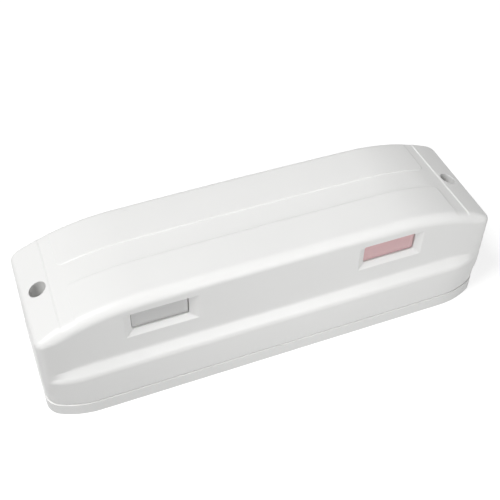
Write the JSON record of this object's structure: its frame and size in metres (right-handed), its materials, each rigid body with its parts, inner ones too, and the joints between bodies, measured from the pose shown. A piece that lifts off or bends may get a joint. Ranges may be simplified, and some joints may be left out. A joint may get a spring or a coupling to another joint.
{
  "type": "curtain motion detector",
  "caption": "Long crowned white motion detector housing with a grey and a red infrared window set in bevelled recesses, raised top panels and deep screw wells at its ends.",
  "frame": {"origin": "middle of the flat back face, on the surface that the detector lies or is screwed on", "axes": "+X along the housing, +Z out of the back face towards the crown, windows facing -Y"},
  "size_m": [0.242, 0.0702, 0.0684],
  "materials": {
    "housing": "white moulded ABS with a fine satin grain",
    "back_plate": "white moulded ABS, satin",
    "grey_pane": "glossy grey infrared-pass window",
    "red_pane": "glossy dusty red infrared-pass window",
    "seal": "black sealing foam rubber",
    "grommet": "soft black rubber",
    "lens": "clear moulded lens plastic",
    "optics_holder": "matt black moulded plastic",
    "circuit_board": "green solder resist",
    "led_body": "dark infrared-pass epoxy",
    "photodiode_body": "black infrared-pass epoxy",
    "socket": "natural nylon",
    "screw": "zinc-plated steel",
    "terminal_housing": "green moulded terminal plastic",
    "terminal_metal": "nickel-plated brass",
    "relay_case": "dark blue moulded case",
    "capacitor_can": "sleeved aluminium can",
    "ferrite": "dark ferrite",
    "copper": "enamelled copper wire",
    "regulator_case": "black epoxy with a tinned tab",
    "chip_case": "black epoxy",
    "crystal_can": "nickel-plated can"
  },
  "bodies": {
    "root": {"cover": "housing", "base_plate": "back_plate", "cover_seal": "seal", "cable_grommet": "grommet", "grey_window": "grey_pane", "red_window": "red_pane", "window_seals": "seal", "emitter_lens": "lens", "receiver_lens": "lens", "emitter_holder": "optics_holder", "receiver_holder": "optics_holder", "infrared_leds": "led_body", "photodiodes": "photodiode_body", "emitter_board": "circuit_board", "receiver_board": "circuit_board", "board_sockets": "socket", "optics_screws": "screw", "holder_screws": "screw", "board_screws": "screw", "terminal_block": "terminal_housing", "terminal_clamps": "terminal_metal", "terminal_screws": "screw", "relay": "relay_case", "big_capacitor": "capacitor_can", "small_capacitors": "capacitor_can", "choke_core": "ferrite", "choke_winding": "copper", "voltage_regulator": "regulator_case", "rectifier_diodes": "regulator_case", "controller_chip": "chip_case", "amplifier_chips": "chip_case", "crystal": "crystal_can", "main_board": "circuit_board"}
  },
  "joints": []
}
